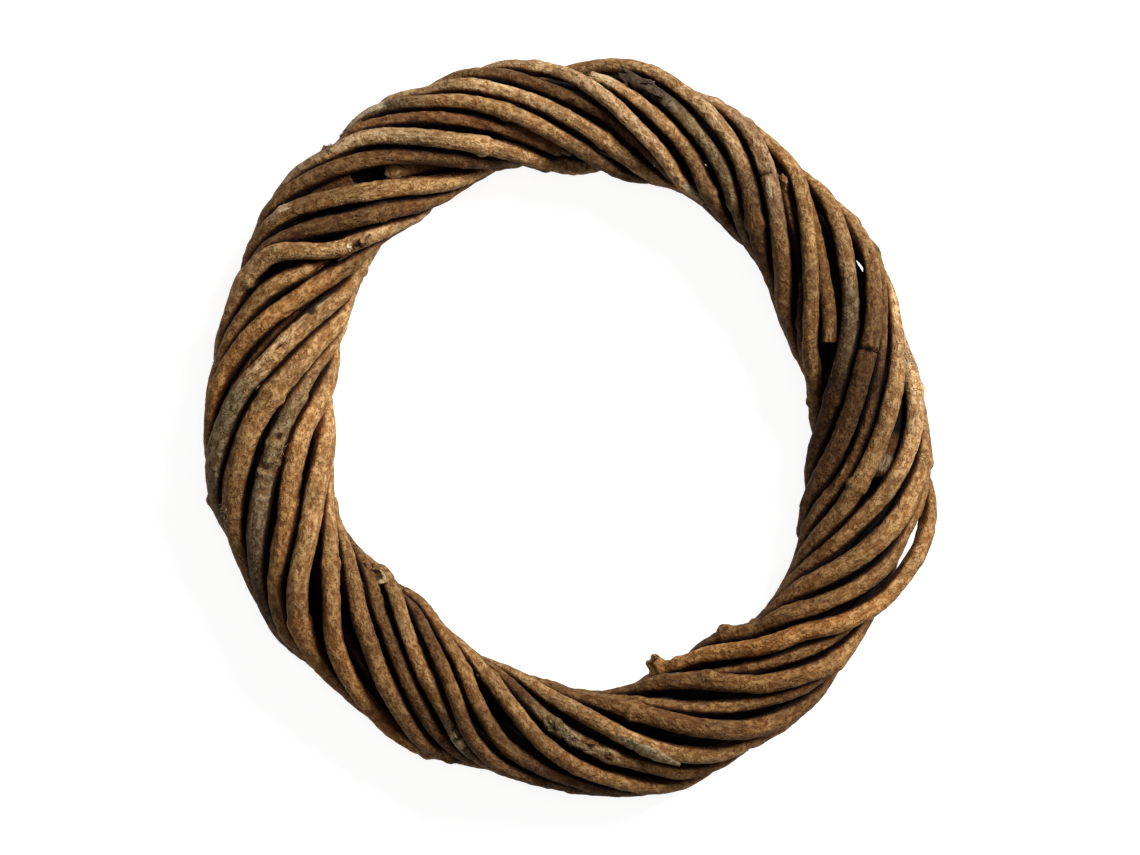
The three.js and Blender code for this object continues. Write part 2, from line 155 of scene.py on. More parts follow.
# Lumps on each cane: angle, place, height, half length.
LUMPS = {
    "cane_1": [(306, 20, 0.6, 1.2)],
    "cane_2": [
        (315, 100, 0.9, 2.6), (626, 80, 1.2, 1.6), (623, 120, 1.1, 1.2), (621, 60, 0.8, 1),
        (199.7, 78, 1.8, 2.4),
    ],
    "cane_3": [(872, 150, 1.3, 2.4), (667, 100, 0.8, 1.4), (671.5, 120, 0.9, 1.2), (759.5, 90, 0.7, 1.5)],
    "cane_6": [
        (10.5, 80, 1.5, 1.3), (12.5, 40, 1.1, 1.2), (13, 150, 0.9, 1), (540, 70, 1.2, 1.2),
        (537, 110, 1, 1), (533, 90, 1, 1.2), (318.2, 25, 1.2, 0.9),
    ],
    "cane_7": [(144, 190, 0.9, 2.6), (198, 120, 1, 2.2)],
    "under_cane_1": [(325, 70, 0.9, 0.9)],
}

# Hollows in each cane, sunk and with painted shade: angle, place, half length, half width in degrees.
HOLES = {
    "cane_2": [
        (198.4, 88, 0.5, 50), (200, 84, 0.4, 46), (201.4, 88, 0.5, 40), (628, 100, 1, 26),
        (622, 70, 0.9, 24),
    ],
    "cane_3": [(669.4, 126, 1.9, 48), (757.6, 90, 0.6, 60)],
    "cane_5": [(76, 90, 0.7, 70)],
    "cane_6": [
        (540, 84, 1.3, 26), (537, 100, 1.2, 22), (534, 76, 1.2, 22), (12, 70, 1, 30), (15, 110, 0.9, 24),
        (318.6, 40, 0.8, 40),
    ],
    "cane_8": [(284.5, 70, 1.2, 16), (292.5, 65, 1.6, 18)],
}

# Stretches deep in the bundle that a wide gap lets light to, where less shade is painted: from, to,
# least share of painted light.
LIT = {
    "cane_4": [(707, 717, 0.55)],
    "cane_7": [(404, 432, 0.7)],
    "under_cane_1": [(324, 333, 0.7), (1026, 1038, 0.4)],
    "under_cane_2": [(812, 819, 0.5)],
}

# Bark peeled off to the bare wood: from, to, place, half width in degrees, share.
BARE = {
    "cane_1": [(304, 308, 40, 40, 0.6)],
    "cane_2": [(312, 317, 100, 40, 0.25), (620, 627, 95, 45, 0.22), (197.4, 202.2, 80, 56, 0.5)],
    "cane_3": [
        (758.2, 761.2, 90, 50, 0.55), (664, 668, 100, 40, 0.3), (323, 330, 38, 34, 0.75),
        (321, 330, 20, 50, 0.4),
    ],
    "cane_6": [(316, 335, 70, 16, 0.45), (536, 544, 92, 56, 0.34)],
    "cane_7": [(3, 7, 90, 70, 0.7)],
    "cane_8": [(384, 390, 90, 40, 0.7), (279, 297, 62, 18, 0.5)],
    "under_cane_1": [(324, 326, 90, 90, 0.45)],
    "under_cane_2": [(108, 111, 90, 90, 0.5), (815, 819, 90, 90, 0.5)],
}

# Strips of bark that stand off: seed, root, place, length (back if negative), width, lift, tone.
PEELS = {
    "cane_2": [
        (77, 318, 70, -7, 1.6, 1, "grey"), (78, 628, 60, -8, 2, 1.2, "grey"),
        (79, 620, 130, 8, 1.6, 1, "brown"), (80, 624, 90, 4, 1.4, 1.3, "tan"),
    ],
    "cane_3": [(81, 668.5, 116, -1.2, 3.2, 0.6, "cream"), (82, 670, 150, -6, 1.6, 1.1, "dark")],
    "cane_6": [
        (71, 13, 90, -9, 3, 1.2, "ash"), (72, 12, 130, -7, 2.6, 1.6, "olive"),
        (73, 12, 30, -8, 2.4, 1.6, "ash"), (74, 15, 80, -5, 2, 1.6, "ash"),
        (75, 10, 60, 6, 2.2, 1.4, "ash"), (83, 535, 60, 5, 1.2, 1, "olive"),
        (84, 539, 110, -5, 1.4, 1.4, "umber"), (85, 531, 90, 6, 1.2, 1.2, "umber"),
        (89, 158.4, 142, 2.8, 1.6, 1.3, "cream"),
    ],
    "cane_7": [
        (76, 6, 80, -6.5, 1.4, 0.9, "bright"), (87, 198, 50, 6, 1.8, 1, "umber"),
        (88, 197, 110, 5, 1.6, 1.2, "brown"),
    ],
    "cane_8": [(70, 171.8, 48, -18, 3.6, 2.2, "leaf"), (86, 386, 110, 7.5, 1.2, 0.8, "bright")],
}

# Tufts of torn fibres: seed, angle, place, spread, number, length, tone.
TUFTS = {
    "cane_1": [(96, 616, 20, 1.8, 60, 1.7, "fuzz"), (97, 306, 20, 1.2, 40, 0.9, "bright")],
    "cane_2": [
        (90, 625, 90, 2.8, 70, 2, "fuzz"), (91, 315, 100, 2, 70, 1.1, "tan"),
        (94, 80, 25, 2.6, 90, 1.4, "fuzz"),
    ],
    "cane_3": [
        (95, 438, 20, 2.6, 90, 1.4, "fuzz"), (101, 322, 30, 1.6, 60, 1.1, "grey"),
        (102, 326, 24, 7, 110, 1, "fuzz"), (104, 668, 110, 2, 80, 1.3, "tan"),
    ],
    "cane_6": [
        (92, 541, 90, 3, 80, 1.9, "fuzz"), (93, 533, 100, 2, 60, 1.2, "tan"),
        (99, 10, 90, 2, 90, 1.2, "ash"), (103, 318.3, 28, 1.2, 50, 1.3, "fuzz"),
    ],
    "cane_7": [
        (98, 4, 90, 1.2, 60, 1.1, "bright"), (105, 199, 80, 2, 80, 1.2, "tan"),
        (106, 144, 190, 1.2, 40, 0.8, "brown"),
    ],
    "cane_8": [(100, 389, 100, 1.4, 70, 1.4, "bright")],
}

# Curls of bark at a cane's end: size, thickness, tone.
HOOKS = {"cane_4": [(2.0, 0.4, "pink")]}

# Cracks right round a cane: angle, depth.
CRACKS = {"cane_5": [(76, 0.8)]}
CRACK_HALF = 0.35
# The share of light painted into a crack, a painted shade.
CRACK_PAINTED_LIGHT = 0.1

# A cap's rings: how far each stands out, its size, its share of bare wood and its brightness, a painted
# light and shade. A cut end has a pale rim round a sunk brown pith. A broken one is rough all over.
CUT_END = (
    (0.10, 0.97, 0.3, 0.6), (0.22, 0.88, 0.9, 1.0), (0.12, 0.70, 0.8, 0.8), (-0.25, 0.54, 0.3, 0.5),
    (-0.60, 0.38, 0.1, 0.6), (-0.70, 0.16, 0.1, 0.7),
)
BROKEN_END = (
    (0.4, 0.97, 0.2, 0.7), (0.9, 0.86, 0.6, 0.8), (1.0, 0.68, 0.6, 0.8), (0.8, 0.48, 0.5, 0.7),
    (0.6, 0.28, 0.5, 0.6), (0.5, 0.10, 0.4, 0.6),
)
# How torn the broken ends are, at a cane's start (0) or its end (-1).
BROKEN = {
    ("cane_7", 0): 1.8, ("cane_8", -1): 3.0, ("cane_4", -1): 1.2, ("cane_3", 0): 1.0, ("cane_6", 0): 1.4,
    ("under_cane_1", 0): 1.6, ("under_cane_2", 0): 1.6, ("under_cane_2", -1): 1.6, ("under_cane_3", -1): 1.2,
}

# A cap's middle lies off toward one side. Its bare wood and its painted brightness are sums of a base,
# what that side adds and what its jags add.
CAP_OFF = 0.35
CAP_WOOD = (0.1, 0.7, 0.5)
CAP_PAINTED_LIGHT = (0.25, 0.6, 0.4)
TORN_REACH = 1.5
CUT_STAND = (0.6, 0.8)
JAGS_PER_MM = 1.3

# The sides of a cane's skin, and its rings between two sections of the solid.
OUTER_GRID, INNER_GRID = (32, 14), (16, 5)
STRIP_SIDES = 8
# The share of painted light on strips of bark, a slight painted shade.
STRIP_PAINTED_LIGHT = 0.9
PEEL_THICK, PEEL_WOOD = 0.10, 0.05
HOOK_RINGS, HOOK_TURN, HOOK_START = 22, 4.6, 1.2

# A cane's own thickness wavers, and its section is oval and turns slowly.
WAVER, WAVER_LENGTH = 0.02, 13
OVAL, OVAL_TURN, OVAL_LENGTH = 0.035, 2.5, 60
# The bark's relief in layers: height, bumps to a millimetre round and along the cane, seed.
RELIEF = (
    (0.10, (0.75, 0.75, 0.10), 0), (0.08, (0.5, 0.5, 0.3), 2),
    (0.16, (0.9, 0.9, 0.6), 3), (0.06, (1.9, 1.9, 1.5), 4),
)
# Each cane's bark is cut from the noise this far from the one before.
BARK_APART = 400.0
LUMP_SPREAD = 0.8
# A knuckle has two swellings, each a share of the radius with a half length, a bud and a groove.
SWELLINGS = ((0.16, 1.7), (0.05, 6))
BUD_HEIGHT, BUD_AHEAD, BUD_HALF, BUD_SPREAD = 0.45, 0.6, 1.0, 0.55
GROOVE_DEPTH, GROOVE_AHEAD, GROOVE_HALF = 0.16, 2.3, 0.5
# A hollow's depth, its size and edge, how ragged it is and the bumps of that to a millimetre. Bare
# wood has the like, and fades out at a patch's ends.
HOLLOW_DEPTH, HOLLOW_SIZE, HOLLOW_EDGE, HOLLOW_RAGGED, HOLLOW_GRAIN = 0.8, 1.1, 2.0, 0.35, 1.3
# How much painted shade darkens the bark at a hollow's deepest.
HOLLOW_PAINTED_SHADE = 0.9
WOOD_FADE, WOOD_SIZE, WOOD_EDGE, WOOD_RAGGED = 1.5, 1.4, 1.6, 0.8
WOOD_GRAIN = (0.9, 0.9, 0.25)

# Splinters, hairs and tufts are closed spikes. A range gives the least and the most.
SPIKE_CORNERS = (0, 2.1, 4.2)
# The share of painted light on spikes, which darkens their bare wood.
SPIKE_PAINTED_LIGHT = 0.6
SPLINTER_THICK = (0.06, 0.13)
SPLINTER_WOOD = 0.3
END_SPLINTERS, END_REACH = 44, 1.2
HAIRS_PER_MM = 1.6
HAIR_LENGTH, HAIR_THICK = (0.25, 0.7), 0.075
HAIRLESS_UNDER = 1.0
TUFT_FAN, TUFT_THICK = 26, (0.07, 0.16)
FLAKES_PER_MM = 0.03
FLAKE_LENGTH, FLAKE_WIDTH, FLAKE_LIFT = (1.5, 5.0), (0.5, 1.0), (0.15, 0.5)
FLAKE_TONES = ("tan", "brown", "umber", "grey")
FLAKE_OPEN = 0.5

# What is added to a cane's number to seed its draws of each kind.
HOLLOW_SEED, WOOD_SEED, CANE_SEED = 51, 31, 101

# How thick the canes are beside their solids, at angles round the ring. They press together most on
# its left.
SWELL = {
    0: 0.91, 60: 0.89, 90: 0.99, 130: 1.03, 165: 0.92, 220: 0.92, 245: 1.01, 262: 1.12, 298: 1.11,
    315: 1.02, 335: 0.93,
}

# How light the bark is made at angles round the ring: partly the bark's own colour and partly painted
# light and shade.
LIGHTNESS = {
    0: 1.04, 38: 1.05, 60: 0.95, 78: 0.93, 100: 1.06, 125: 1.2, 155: 1.19, 180: 1.02, 215: 1.06, 240: 0.92,
    270: 1.36, 300: 1.14, 330: 1.05,
}

# Painted shade: a point's bark colour is darkened where probes sent out from it, each this far and of
# this weight, come close to another cane, and where it lies deep in the bundle.
PROBES = ((1.3, 0.40), (2.8, 0.35), (4.6, 0.25))
PROBE_SOFTNESS = 1.8
NEIGHBOUR_REACH = 12.0
OWN_REACH = 16
DEEP, OPEN = 10.0, 13.6
COVERED_PAINTED_LIGHT = 0.03
DEEP_PAINTED_LIGHT = 0.03
COVER_POWER = 2.35
# Painted shade darkens blue more than red: the painted light share is raised to these powers.
PAINTED_SHADE_POWER = np.array([1.0, 1.32, 1.65])


def lattice(cell, seed):
    """A repeatable random number from -1 to 1 for each whole-numbered cell."""
    key = cell.astype(np.int64)
    h = key[..., 0] * 374761393 + key[..., 1] * 668265263 + key[..., 2] * 2246822519 + seed * 3266489917
    h = (h ^ (h >> 13)) & 0xFFFFFFFF
    h = (h * 1274126177) & 0xFFFFFFFF
    h = h ^ (h >> 16)
    return (h & 0xFFFF) / 32767.5 - 1.0


def eased(t):
    """A share from 0 to 1, eased in and out."""
    return t * t * (3 - 2 * t)


def noise(p, seed):
    """Smooth random values, about one bump to each unit of p, an array of points."""
    base = np.floor(p)
    f = eased(p - base)
    total = 0.0
    for corner in np.ndindex(2, 2, 2):
        weight = np.prod(np.where(corner, f, 1 - f), axis=-1)
        total = total + weight * lattice(base + corner, seed)
    return total


def line_noise(x, seed):
    """Smooth random values along a line."""
    return noise(np.multiply.outer(x, (1, 0, 0)) + (0, 0.37, 0.61), seed)


def unit(v):
    return v / norm(v, axis=-1, keepdims=True)


def circle(count):
    """Even angles all the way round."""
    return np.linspace(0, 2 * pi, count, endpoint=False)


def turned(phi, turn):
    """How far on phi is from another angle, within half a turn either way."""
    return (phi - turn + pi) % (2 * pi) - pi


def ring_axes(angle):
    """The directions out from the ring's middle and along it, at an angle."""
    a = radians(angle)
    return np.array([sin(a), cos(a), 0.0]), np.array([cos(a), -sin(a), 0.0])


def ring_angle(points):
    return np.degrees(np.arctan2(points[..., 0], points[..., 1])) % 360


def welded(node):
    """A solid's corner points in millimetres about the ring's centre, and its edges."""
    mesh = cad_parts[node].data
    points = np.array([vertex.co for vertex in mesh.vertices]) / MM - RING_CENTRE
    keys, index = np.unique(np.round(points, 3), axis=0, return_inverse=True)
    edges = index.ravel()[[tuple(edge.vertices) for edge in mesh.edges]]
    return keys, edges[edges[:, 0] != edges[:, 1]]


def groups_of(members, edges):
    """Splits the members into groups that edges join."""
    leader = {m: m for m in members.tolist()}

    def find(m):
        while leader[m] != m:
            m = leader[m]
        return m

    for a, b in edges.tolist():
        leader[find(a)] = find(b)
    groups = {}
    for m in leader:
        groups.setdefault(find(m), []).append(m)
    return [g for g in groups.values() if len(g) >= FEWEST_CORNERS]


def section_middle(points):
    """The middle of a section: where most of the lines between opposite corners cross.

    Corners on the floor belong to a worn flat spot and have none opposite."""
    points = points[points[:, 2] > ON_FLOOR]
    n = len(points)
    middles = np.array([(points[i] + points[j]) / 2 for i in range(n) for j in range(i)])
    near = norm(middles[:, None] - middles[None], axis=-1) < CROSSING
    best = near.sum(1).argmax()
    if near[best].sum() >= 2:
        return middles[near[best]].mean(0)
    return points.mean(0)


def sections_of(points, edges):
    """The sections of a solid in the upright planes, and which of them edges join."""
    angle = ring_angle(points)
    plane = np.round(angle / END_STEP).astype(int)
    on_plane = np.abs(angle - plane * END_STEP) < ON_PLANE
    plane = np.where(on_plane, plane % (360 // END_STEP), -1)
    same = plane[edges[:, 0]] == plane[edges[:, 1]]
    flat_edges = edges[same & (plane[edges[:, 0]] >= 0)]
    sections, owner = {}, {}
    for k in np.unique(plane[plane >= 0]):
        members = np.where(plane == k)[0]
        inside = flat_edges[plane[flat_edges[:, 0]] == k]
        for group in groups_of(members, inside):
            for m in group:
                owner[m] = len(sections)
            sections[len(sections)] = (int(k), group)
    joined = {number: set() for number in sections}
    for a, b in edges[~same].tolist():
        p, q = owner.get(a), owner.get(b)
        if p is not None and q is not None:
            joined[p].add(q)
            joined[q].add(p)
    return sections, joined


def chain_of(node, sections, joined, wanted):
    """The row of sections that leads from a cane's start through the wanted planes."""
    behind = (wanted[0] * END_STEP - STEP) % 360 // END_STEP
    chains = []
    for begin, (k, _) in sections.items():
        if k != wanted[0] or any(sections[m][0] == behind for m in joined[begin]):
            continue
        chain = [begin]
        for plane in wanted[1:]:
            ahead = [m for m in joined[chain[-1]] if sections[m][0] == plane and m not in chain]
            if len(ahead) != 1:
                break
            chain.append(ahead[0])
        chains.append(chain)
    chain = max(chains, key=len)
    if len(chain) != len(wanted):
        raise SystemExit(f"{node}: {len(chain)} of {len(wanted)} sections found")
    return chain


def read_stations(node, start, end):
    """The cane's stations, from start to end: angle, middle and thickness there."""
    points, edges = welded(node)
    sections, joined = sections_of(points, edges)
    angles = [start, *range(STEP * ceil((start + 1) / STEP), end, STEP), end]
    chain = chain_of(node, sections, joined, [(a % 360) // END_STEP for a in angles])
    middles = np.array([section_middle(points[sections[n][1]]) for n in chain])
    radii = []
    for i, n in enumerate(chain):
        tangent = unit(middles[min(len(chain) - 1, i + 1)] - middles[max(0, i - 1)])
        _, along = ring_axes(angles[i])
        offset = points[sections[n][1]] - middles[i]
        lean = tangent - along * (tangent @ along)
        size = norm(lean)
        if size > 1e-6:
            lean = lean / size
            drawn = offset @ lean
            offset = offset - np.outer(drawn * (1 - tangent @ along), lean)
        radii.append(np.median(norm(offset, axis=1)))
    return np.array(angles, float), middles, np.array(radii)


def hermite(angles, values, count):
    """Values on a smooth curve through the stations, at `count` even steps in each span."""
    slope = np.gradient(values, angles, axis=0)
    rows = []
    for i in range(len(angles) - 1):
        span = angles[i + 1] - angles[i]
        for t in np.linspace(0, 1, count, endpoint=False):
            rise = eased(t)
            lead = slope[i] * (t - 2 * t * t + t**3) + slope[i + 1] * (t**3 - t * t)
            rows.append(values[i] * (1 - rise) + values[i + 1] * rise + span * lead)
    return np.array([*rows, values[-1]])


def carried_frames(points):
    """Tangents, and two directions across them that turn as little as they can."""
    tangent = unit(np.gradient(points, axis=0))
    side = np.cross(tangent[0], (0, 0, 1.0))
    sides = []
    for t in tangent:
        side = unit(side - t * (side @ t))
        sides.append(side)
    sides = np.array(sides)
    return tangent, sides, np.cross(tangent, sides)


def round_ring(values, angle):
    """A value given at angles round the ring, at other angles."""
    return np.interp(angle, list(values), list(values.values()), period=360)


def tone_along(tones, angle):
    """The bark's colour at angles along a cane, blended between the tones given."""
    # The tones and the lightness round the ring hold painted light and shade as well as the bark's colour.
    rgb = np.array([TONES[name] for name in tones.values()])
    blended = np.stack([np.interp(angle, list(tones), rgb[:, k]) for k in range(3)], -1)
    return blended * round_ring(LIGHTNESS, angle)[..., None]


class Cane:
    """A cane's smooth middle line, its thickness and the directions across it."""

    def __init__(self, name, number):
        self.slot, self.tones = CANES[name]
        start, *_, end = self.tones
        self.name, self.number = name, number
        self.outer = name.startswith("cane_")
        self.sides, per_span = OUTER_GRID if self.outer else INNER_GRID
        angles, middles, radii = read_stations(name, start, end)
        beside = 0.5 * (np.roll(radii, 1) + np.roll(radii, -1))
        beside[[0, -1]] = radii[[0, -1]]
        swollen = radii > KNUCKLE_SWELL * beside
        self.middle = hermite(angles, middles, per_span)
        self.angle = hermite(angles, angles, per_span)
        self.radius = hermite(angles, np.where(swollen, beside, radii), per_span)
        self.radius = self.radius * round_ring(SWELL, self.angle)
        self.tangent, self.side, self.other = carried_frames(self.middle)
        for i, _ in self.cracks():
            self.middle[i - 1] = self.middle[i] - CRACK_HALF * self.tangent[i]
            self.middle[i + 1] = self.middle[i] + CRACK_HALF * self.tangent[i]
        self.run = np.append(0, np.cumsum(norm(np.diff(self.middle, axis=0), axis=1)))
        self.knuckles = np.interp(angles[swollen], self.angle, self.run)

    def at(self, angle):
        """The nearest point of the middle line to an angle."""
        return int(np.abs(self.angle - angle).argmin())

    def cracks(self):
        """The points of the middle line at the cane's cracks, and how deep they are."""
        return [(self.at(angle), depth) for angle, depth in CRACKS.get(self.name, [])]

    def toward(self, i, place):
        """The direction across the cane at its point i that faces a place."""
        out, _ = ring_axes(self.angle[i])
        way = out * cos(radians(place))
        way[2] += sin(radians(place))
        return unit(way - self.tangent[i] * (way @ self.tangent[i]))

    def away(self, phi, i, place):
        """How far round the cane from that place the angles phi are, in radians."""
        way = self.toward(i, place)
        return turned(phi, atan2(way @ self.other[i], way @ self.side[i]))


class Bundle:
    """All the canes together, to tell how deep a point lies and what covers it, for the painted shade."""

    BINS = 3

    def __init__(self, canes):
        self.canes = canes
        rows = [
            (cane.middle[i], cane.number, i, cane.radius[i])
            for cane in canes
            for i in range(0, len(cane.middle), 2)
        ]
        self.tree = KDTree(len(rows))
        for k, row in enumerate(rows):
            self.tree.insert(row[0], k)
        self.tree.balance()
        _, self.owner, self.step, self.radius = map(np.array, zip(*rows))
        outer = np.concatenate([cane.middle for cane in canes if cane.outer])
        bins = (ring_angle(outer) // self.BINS).astype(int)
        self.at = np.arange(0, 360, self.BINS) + self.BINS / 2
        flat = norm(outer[:, :2], axis=1)
        self.flat = np.array([flat[bins == k].mean() for k in range(len(self.at))])
        self.high = np.array([outer[bins == k, 2].mean() for k in range(len(self.at))])

    def surface(self, points):
        """How far points lie out from the bundle's middle: 0 deep within, 1 at its surface."""
        angle = ring_angle(points)
        flat = norm(points[..., :2], axis=-1) - np.interp(angle, self.at, self.flat, period=360)
        high = points[..., 2] - np.interp(angle, self.at, self.high, period=360)
        return eased(np.clip((np.hypot(flat, high) - DEEP) / (OPEN - DEEP), 0, 1))

    def openness(self, cane, i, points, ways):
        """The share of light painted into the bark at points of a cane, near its point i and facing ways."""
        share = np.zeros(len(points))
        found = self.tree.find_range(cane.middle[i], NEIGHBOUR_REACH)
        places, index, _ = map(np.array, zip(*found))
        other = (self.owner[index] != cane.number) | (np.abs(self.step[index] - i) > OWN_REACH)
        if other.any():
            near, radius = places[other], self.radius[index[other]]
            for far, weight in PROBES:
                probe = points + ways * far
                gap = norm(probe[:, None] - near, axis=2) - radius
                share += weight * np.clip(1 - gap.min(1) / PROBE_SOFTNESS, 0, 1)
        bare = COVERED_PAINTED_LIGHT + (1 - COVERED_PAINTED_LIGHT) * (1 - share) ** COVER_POWER
        return bare * (DEEP_PAINTED_LIGHT + (1 - DEEP_PAINTED_LIGHT) * self.surface(points))


BUNDLE = Bundle([Cane(name, number) for number, name in enumerate(CANES)])


def placed(name, data):
    """A new object in the scene."""
    thing = bpy.data.objects.new(name, data)
    bpy.context.scene.collection.objects.link(thing)
    return thing


class Skin:
    """A mesh gathered from tubes and spikes, with tone, bark place, bare wood and openness, the share of
    painted light.
    """

    LAYERS = {"tone": (3,), "bark": (3,), "wood": (), "open": ()}

    def __init__(self):
        self.points, self.faces, self.count = [], [], 0
        self.layers = {layer: [] for layer in self.LAYERS}

    def add(self, points, **layers):
        """Adds points, with each layer's values for them, and tells the number of the first."""
        points = points.reshape(-1, 3)
        start = self.count
        self.points.append(points)
        for layer, width in self.LAYERS.items():
            values = np.reshape(layers[layer], (-1, *width))
            self.layers[layer].append(np.broadcast_to(values, (len(points), *width)))
        self.count += len(points)
        return start

    def tube(self, rings, tone, bark, wood, openness):
        """Closed skin over rings [ring, side, xyz]. Both end rings are closed to their middles."""
        n, m, _ = rings.shape
        # The tone is darkened by painted shade: the openness raised to a power for each colour.
        shaded = tone * openness[..., None] ** PAINTED_SHADE_POWER
        start = self.add(rings, tone=shaded, bark=bark, wood=wood, open=openness)
        row = start + np.arange(n * m).reshape(n, m)
        beside = np.roll(row, -1, axis=1)
        quads = np.stack([row[:-1], beside[:-1], beside[1:], row[1:]], -1)
        self.faces += quads.reshape(-1, 4).tolist()
        for ring, turn in ((0, -1), (-1, 1)):
            middle = self.add(
                rings[ring].mean(0), tone=shaded[ring].mean(0), bark=bark[ring].mean(0),
                wood=wood[ring].mean(), open=openness[ring].mean(),
            )
            for a, b in zip(row[ring].tolist(), beside[ring].tolist()):
                self.faces.append((a, b, middle)[::turn])

    def spike(self, root, tip, thick, tone, wood=0.0):
        """A closed three-sided splinter or hair."""
        way = unit(tip - root)
        side = unit(np.cross(way, (0.3, 0.5, 0.8)))
        other = np.cross(way, side)
        corners = [root + thick * (side * cos(a) + other * sin(a)) for a in SPIKE_CORNERS]
        points = np.array([*corners, tip])
        a = self.add(points, tone=tone, bark=points, wood=wood, open=SPIKE_PAINTED_LIGHT)
        self.faces += [(a, a + 1, a + 3), (a + 1, a + 2, a + 3), (a + 2, a, a + 3), (a, a + 2, a + 1)]

    def build(self, name, material, node):
        mesh = bpy.data.meshes.new(name)
        points = (np.concatenate(self.points) + RING_CENTRE) * MM
        mesh.from_pydata(points.tolist(), [], self.faces)
        for layer, width in self.LAYERS.items():
            kind, field = ("FLOAT_VECTOR", "vector") if width else ("FLOAT", "value")
            values = np.concatenate(self.layers[layer]).astype(np.float32)
            mesh.attributes.new(layer, kind, "POINT").data.foreach_set(field, values.ravel())
        mesh.shade_smooth()
        mesh.validate()
        mesh.materials.append(material)
        piece = placed(name, mesh)
        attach(piece, "root")
        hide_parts(node)


def above_floor(points):
    """The points, with those under the floor raised to it, as on bark that gives where it rests."""
    return np.concatenate([points[..., :2], np.maximum(points[..., 2:], ON_FLOOR)], -1)


def bump_at(cane, run, phi, angle, place, height, half):
    """A rounded lump on the side of a cane."""
    i = cane.at(angle)
    around = cane.away(phi, i, place) / LUMP_SPREAD
    return height * np.exp(-(((run - cane.run[i]) / half) ** 2) - around**2)


def knuckle_relief(radius, run, phi, knuckle, turn):
    """A node: a swelling with a bud on one side and a groove above it."""
    off = run - knuckle
    around = turned(phi, turn)
    swelling = sum(share * radius * np.exp(-((off / half) ** 2)) for share, half in SWELLINGS)
    bud = BUD_HEIGHT * np.exp(-(((off - BUD_AHEAD) / BUD_HALF) ** 2) - (around / BUD_SPREAD) ** 2)
    groove = GROOVE_DEPTH * np.exp(-(((off - GROOVE_AHEAD) / GROOVE_HALF) ** 2))
    return swelling + bud - groove


def hollows(cane, run, phi, bark):
    """How deep in a hollow, sunk and with painted shade, the points of a cane's skin lie, from 0 to 1."""
    deep = np.zeros(bark.shape[:2])
    ragged = HOLLOW_RAGGED * noise(bark * HOLLOW_GRAIN, cane.number + HOLLOW_SEED)
    for angle, place, half, wide in HOLES.get(cane.name, []):
        i = cane.at(angle)
        around = np.degrees(cane.away(phi, i, place))
        away = np.hypot((run - cane.run[i]) / half, around / wide)
        deep = np.maximum(deep, np.clip(HOLLOW_EDGE * (HOLLOW_SIZE - away + ragged), 0, 1))
    return deep


def cane_rings(cane):
    """The skin of a cane as rings of points, the directions out, and where each lies in the bark."""
    seed = cane.number + 1
    rng = np.random.default_rng(seed)
    phi = circle(cane.sides)
    run = cane.run[:, None]
    radius = cane.radius[:, None] * (1 + WAVER * line_noise(run / WAVER_LENGTH, seed))
    turn = OVAL_TURN * line_noise(run / OVAL_LENGTH, seed + 1)
    length = np.broadcast_to(run, (len(run), cane.sides)) + BARK_APART * seed
    bark = np.stack([radius * np.cos(phi), radius * np.sin(phi), length], -1)
    relief = OVAL * radius * np.cos(2 * (phi - turn))
    for height, scale, layer in RELIEF:
        relief = relief + height * noise(bark * scale, seed + layer)
    for knuckle in cane.knuckles:
        relief = relief + knuckle_relief(radius, run, phi, knuckle, rng.uniform(0, 2 * pi))
    for lump in LUMPS.get(cane.name, []):
        relief = relief + bump_at(cane, run, phi, *lump)
    for i, depth in cane.cracks():
        relief[i] -= depth
    deep = hollows(cane, run, phi, bark)
    relief = relief - HOLLOW_DEPTH * deep
    spokes = np.cos(phi)[:, None] * cane.side[:, None] + np.sin(phi)[:, None] * cane.other[:, None]
    reach = (radius + relief)[..., None]
    return above_floor(cane.middle[:, None] + spokes * reach), spokes * reach, bark, deep


def bare_wood(cane, bark):
    """The share of bare wood on the skin of a cane, in ragged patches."""
    wood = np.zeros(bark.shape[:2])
    phi = circle(cane.sides)
    ragged = WOOD_RAGGED * noise(bark * WOOD_GRAIN, cane.number + WOOD_SEED)
    for start, end, place, half, share in BARE.get(cane.name, []):
        i = cane.at((start + end) / 2)
        around = np.degrees(cane.away(phi, i, place))
        inside = np.minimum(cane.angle - start, end - cane.angle)[:, None] / WOOD_FADE
        edge = WOOD_SIZE - np.abs(around) / half + ragged
        patch = np.clip(inside + 0.5, 0, 1) * np.clip(WOOD_EDGE * edge, 0, 1)
        wood = np.maximum(wood, share * patch)
    return wood


def cap_rings(middle, spokes, way, rough, seed, pale=1.0):
    """The rings that close an end, with bare wood and painted brightness. Rough ends are torn, with jags.

    The pale wood is widest on one side of the end, and its hollow lies toward the other."""
    widest = spokes[seed * 5 % len(spokes)]
    side = 0.5 + 0.5 * unit(spokes) @ unit(widest)
    rings, woods, lights = [], [], []
    for stand, size, bare, light in BROKEN_END if rough else CUT_END:
        jag = 0.5 + 0.5 * noise(spokes * size * JAGS_PER_MM + seed, seed)
        ahead = stand * (TORN_REACH * rough * jag if rough else CUT_STAND[0] + CUT_STAND[1] * jag)
        rings.append(middle - CAP_OFF * (1 - size) * widest + spokes * size + way * ahead[:, None])
        woods.append(pale * bare * (CAP_WOOD[0] + CAP_WOOD[1] * side + CAP_WOOD[2] * jag))
        lights.append(light * (CAP_PAINTED_LIGHT[0] + CAP_PAINTED_LIGHT[1] * side + CAP_PAINTED_LIGHT[2] * jag))
    return np.array(rings), np.array(woods), np.array(lights)


